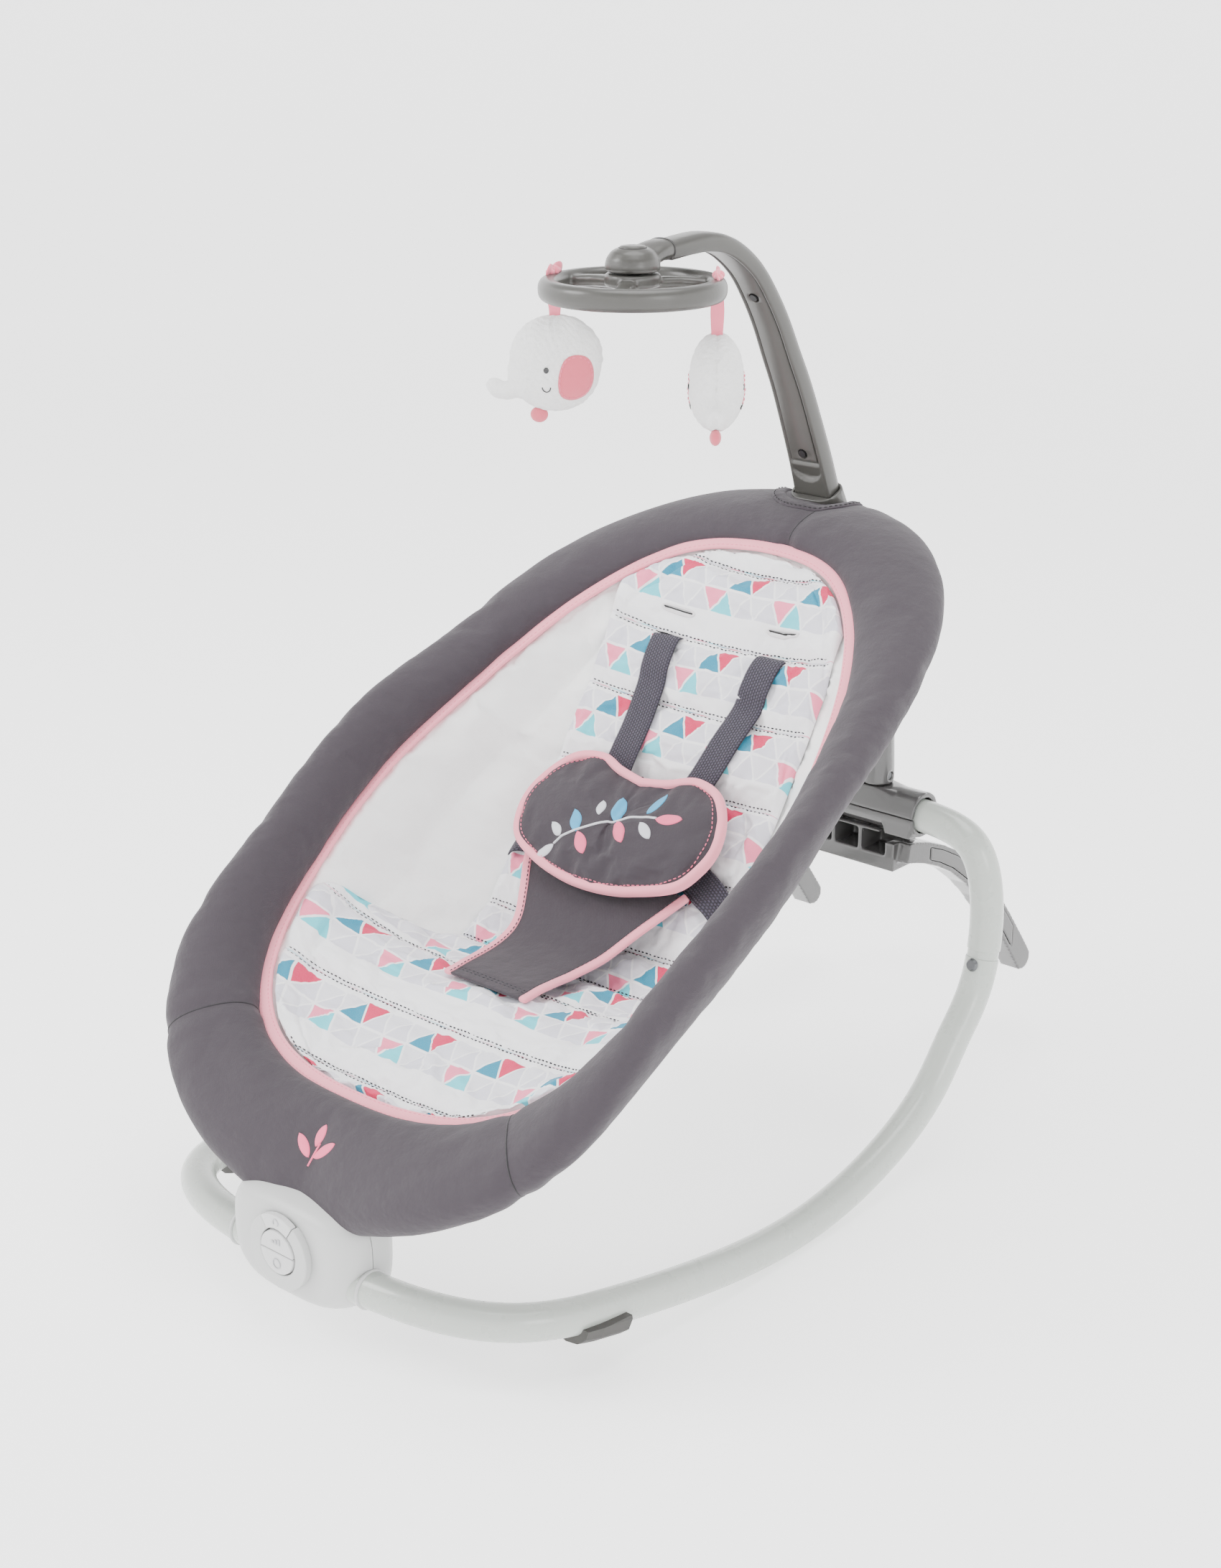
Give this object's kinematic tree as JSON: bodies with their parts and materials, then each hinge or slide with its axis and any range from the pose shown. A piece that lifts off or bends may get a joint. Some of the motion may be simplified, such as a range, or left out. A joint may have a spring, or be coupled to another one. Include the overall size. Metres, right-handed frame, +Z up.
{
  "type": "baby bouncer seat",
  "caption": "Rocking infant seat on curved tube runners, with a padded oval seat, harness, vibration unit, fold-down stand and a pull-off toy bar with a spinning ring.",
  "frame": {"origin": "on the floor under the middle of the bounding box", "axes": "+Z up, -Y towards the front where the vibration unit is, +X towards the child's left"},
  "size_m": [0.426, 0.7239, 0.6757],
  "materials": {
    "runner_enamel": "smooth off-white enamel on steel tube",
    "frame_steel": "grey painted steel, hidden in the border",
    "unit_white": "satin white moulding",
    "button_white": "satin pale grey-white",
    "grey_gloss": "mid-grey semi-gloss moulding",
    "bar_grey": "mid-grey satin moulding",
    "grey_rubber": "grey anti-slip rubber",
    "screw_steel": "zinc plated",
    "charcoal_cloth": "charcoal woven polyester",
    "pink_binding": "pale pink folded binding",
    "white_cloth": "smooth white stretch cloth",
    "quilted_print": "white quilted cotton with small triangles",
    "webbing": "dark navy-grey webbing",
    "plush_white": "white short plush",
    "ribbon_pink": "pink satin ribbon",
    "cell_metal": "plain battery can",
    "board_green": "circuit board"
  },
  "bodies": {
    "base": {"front_rail_left": "runner_enamel", "front_rail_right": "runner_enamel", "rear_tube_left": "runner_enamel", "rear_tube_right": "runner_enamel", "splice_screw_left": "screw_steel", "splice_screw_right": "screw_steel", "front_foot_left": "grey_rubber", "front_foot_right": "grey_rubber", "unit_front_shell": "unit_white", "unit_rear_shell": "unit_white", "dial_ring": "unit_white", "battery_upper": "cell_metal", "battery_lower": "cell_metal", "circuit_board": "board_green", "vibration_motor": "screw_steel", "front_bracket": "unit_white", "rear_housing_upper": "grey_gloss", "rear_housing_lower": "grey_gloss", "seat_post_left": "grey_gloss", "seat_post_right": "grey_gloss", "post_screw_left": "screw_steel", "post_screw_right": "screw_steel", "seat_frame_tube": "frame_steel", "padded_border": "charcoal_cloth", "piping": "pink_binding", "seat_sling": "white_cloth", "quilted_liner": "quilted_print", "shoulder_strap_left": "webbing", "shoulder_strap_right": "webbing", "waist_strap_left": "webbing", "waist_strap_right": "webbing", "crotch_piece": "charcoal_cloth", "belly_pad": "charcoal_cloth", "bar_collar": "bar_grey"},
    "toy_bar_body": {"toy_bar": "bar_grey", "bar_cover": "bar_grey", "cover_screw_lower": "screw_steel", "cover_screw_upper": "screw_steel", "hub_knuckle": "bar_grey", "hub_cap": "bar_grey"},
    "toy_ring_body": {"toy_ring": "bar_grey"},
    "toy_left_body": {"ribbon_left": "ribbon_pink", "toy_left": "plush_white"},
    "toy_right_body": {"ribbon_right": "ribbon_pink", "toy_right": "plush_white"},
    "stand_body": {"kickstand": "grey_gloss", "stand_cover_left": "grey_gloss", "stand_cover_right": "grey_gloss", "stand_screw_left": "screw_steel", "stand_screw_right": "screw_steel"},
    "top_button_body": {"dial_top_button": "button_white"},
    "upper_button_body": {"upper_button": "button_white"},
    "power_button_body": {"power_button": "button_white"},
    "door_body": {"battery_door": "unit_white", "door_screw": "screw_steel"},
    "weight_body": {"motor_weight": "screw_steel"}
  },
  "joints": [
    {"name": "bar_pull", "type": "slide", "parent": "base", "child": "toy_bar_body", "axis": [0, -0.3792, 0.9253], "range_m": [0, 0.05]},
    {"name": "ring_spin", "type": "hinge", "parent": "toy_bar_body", "child": "toy_ring_body", "pos_m": [0, -0.011, 0.64463], "axis": [0, 0, 1], "continuous": true},
    {"name": "toy_left_swing", "type": "hinge", "parent": "toy_ring_body", "child": "toy_left_body", "pos_m": [0.04514, 0.02379, 0.64414], "axis": [-0.6105, 0.792, 0], "range_deg": [-25, 25]},
    {"name": "toy_right_swing", "type": "hinge", "parent": "toy_ring_body", "child": "toy_right_body", "pos_m": [-0.05377, -0.02992, 0.64414], "axis": [-0.3319, 0.9433, 0], "range_deg": [-25, 25]},
    {"name": "stand_fold", "type": "hinge", "parent": "base", "child": "stand_body", "pos_m": [0, 0.186, 0.24264], "axis": [1, 0, 0], "range_deg": [-22, 0]},
    {"name": "top_button_press", "type": "slide", "parent": "base", "child": "top_button_body", "axis": [0, 1, 0], "range_m": [0, 0.0012], "stiffness_N_per_m": 600, "springref_m": -0.0005},
    {"name": "upper_button_press", "type": "slide", "parent": "base", "child": "upper_button_body", "axis": [0, 1, 0], "range_m": [0, 0.0012], "stiffness_N_per_m": 600, "springref_m": -0.0005},
    {"name": "power_button_press", "type": "slide", "parent": "base", "child": "power_button_body", "axis": [0, 1, 0], "range_m": [0, 0.0012], "stiffness_N_per_m": 600, "springref_m": -0.0005},
    {"name": "door_open", "type": "hinge", "parent": "base", "child": "door_body", "pos_m": [0, -0.31, 0.06344], "axis": [1, 0, 0], "range_deg": [-60, 0]},
    {"name": "weight_spin", "type": "hinge", "parent": "base", "child": "weight_body", "pos_m": [0.02, -0.326, 0.04964], "axis": [1, 0, 0], "continuous": true}
  ]
}
